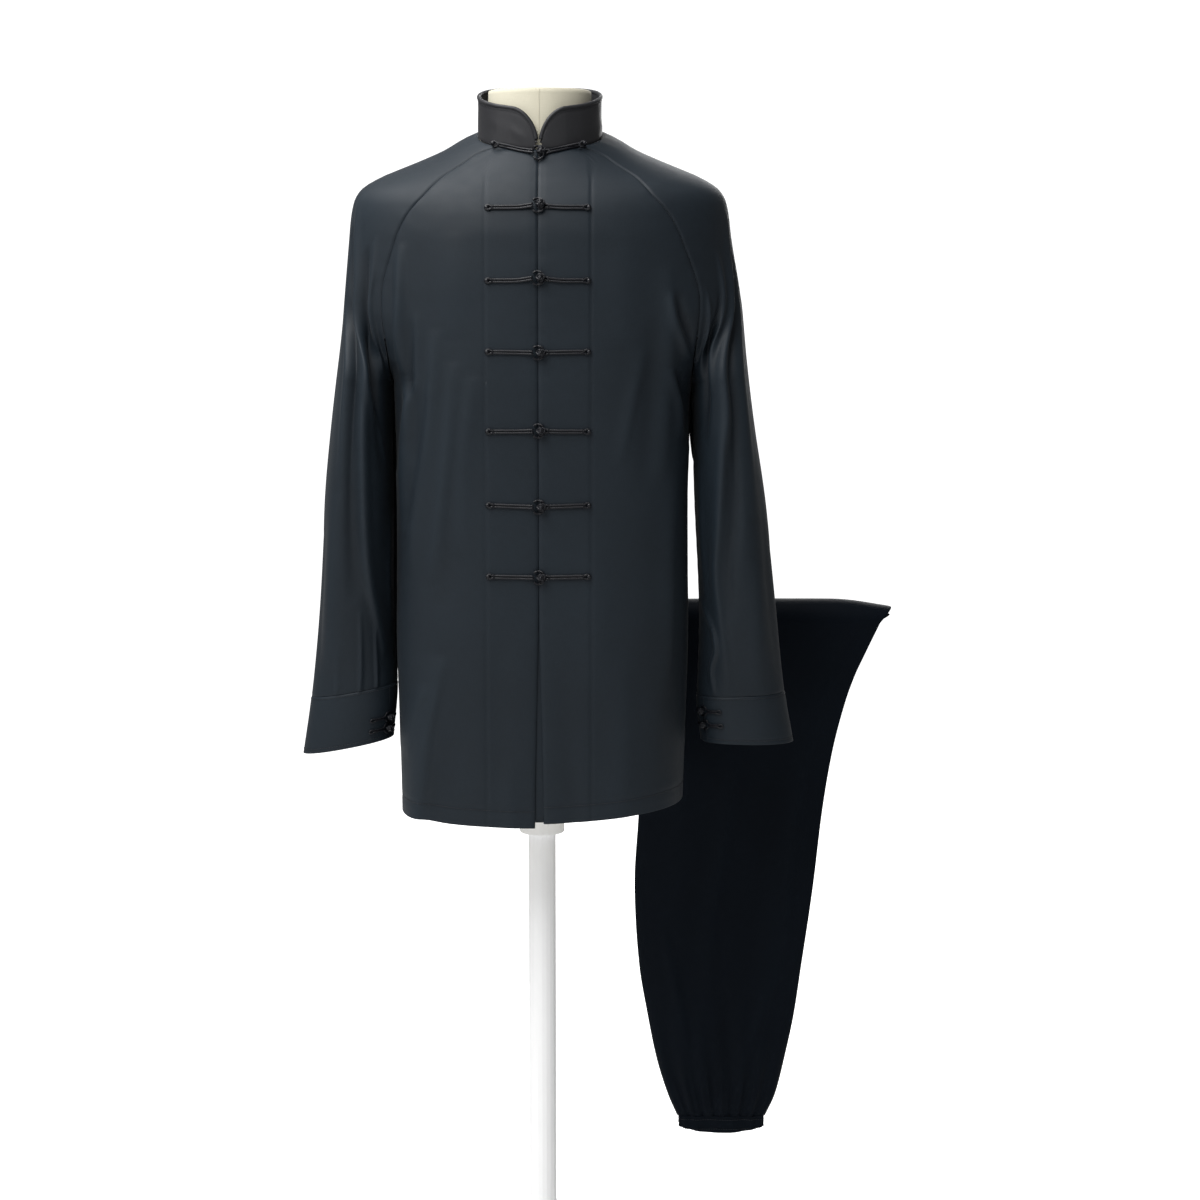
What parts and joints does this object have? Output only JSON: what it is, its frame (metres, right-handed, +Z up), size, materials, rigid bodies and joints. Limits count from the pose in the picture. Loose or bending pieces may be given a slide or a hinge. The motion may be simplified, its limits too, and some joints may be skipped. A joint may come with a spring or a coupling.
{
  "type": "tai chi uniform on a limbless dress form",
  "caption": "Dark raglan tai chi jacket with stand collar and frogs on a dress form, its elastic-ankle trousers folded over a rod behind it.",
  "frame": {"origin": "centre of the base plate's underside, on the floor", "axes": "+Z up, the front of the jacket faces -Y, the wearer's left is +X"},
  "size_m": [0.7056, 0.4129, 1.3888],
  "materials": {
    "body_cloth": "dark navy charcoal crepe with a soft satin sheen",
    "trouser_cloth": "near-black navy crepe with a faint sheen",
    "collar_cloth": "black crepe, pressed and topstitched",
    "cord": "black satin cord",
    "linen": "cream linen stretched over the form",
    "stand_paint": "white satin paint"
  },
  "bodies": {
    "root": {"front_right": "body_cloth", "sleeve_right": "body_cloth", "cuff_right": "body_cloth", "cuff_knot_right_1": "cord", "cuff_loop_right_1": "cord", "cuff_knot_right_2": "cord", "cuff_loop_right_2": "cord", "front_left": "body_cloth", "sleeve_left": "body_cloth", "cuff_left": "body_cloth", "cuff_knot_left_1": "cord", "cuff_loop_left_1": "cord", "cuff_knot_left_2": "cord", "cuff_loop_left_2": "cord", "back": "body_cloth", "underlap": "body_cloth", "collar": "collar_cloth", "collar_binding": "collar_cloth", "frog_knot_1": "cord", "frog_loop_1": "cord", "frog_knot_2": "cord", "frog_loop_2": "cord", "frog_knot_3": "cord", "frog_loop_3": "cord", "frog_knot_4": "cord", "frog_loop_4": "cord", "frog_knot_5": "cord", "frog_loop_5": "cord", "frog_knot_6": "cord", "frog_loop_6": "cord", "frog_knot_7": "cord", "frog_loop_7": "cord", "trouser_leg_near": "trouser_cloth", "trouser_leg_far": "trouser_cloth", "ankle_band_near": "trouser_cloth", "ankle_band_far": "trouser_cloth", "waistband": "trouser_cloth", "form_torso": "linen", "form_pole": "stand_paint", "form_base": "stand_paint", "rod_clamp": "stand_paint", "trouser_rod": "stand_paint"}
  },
  "joints": []
}
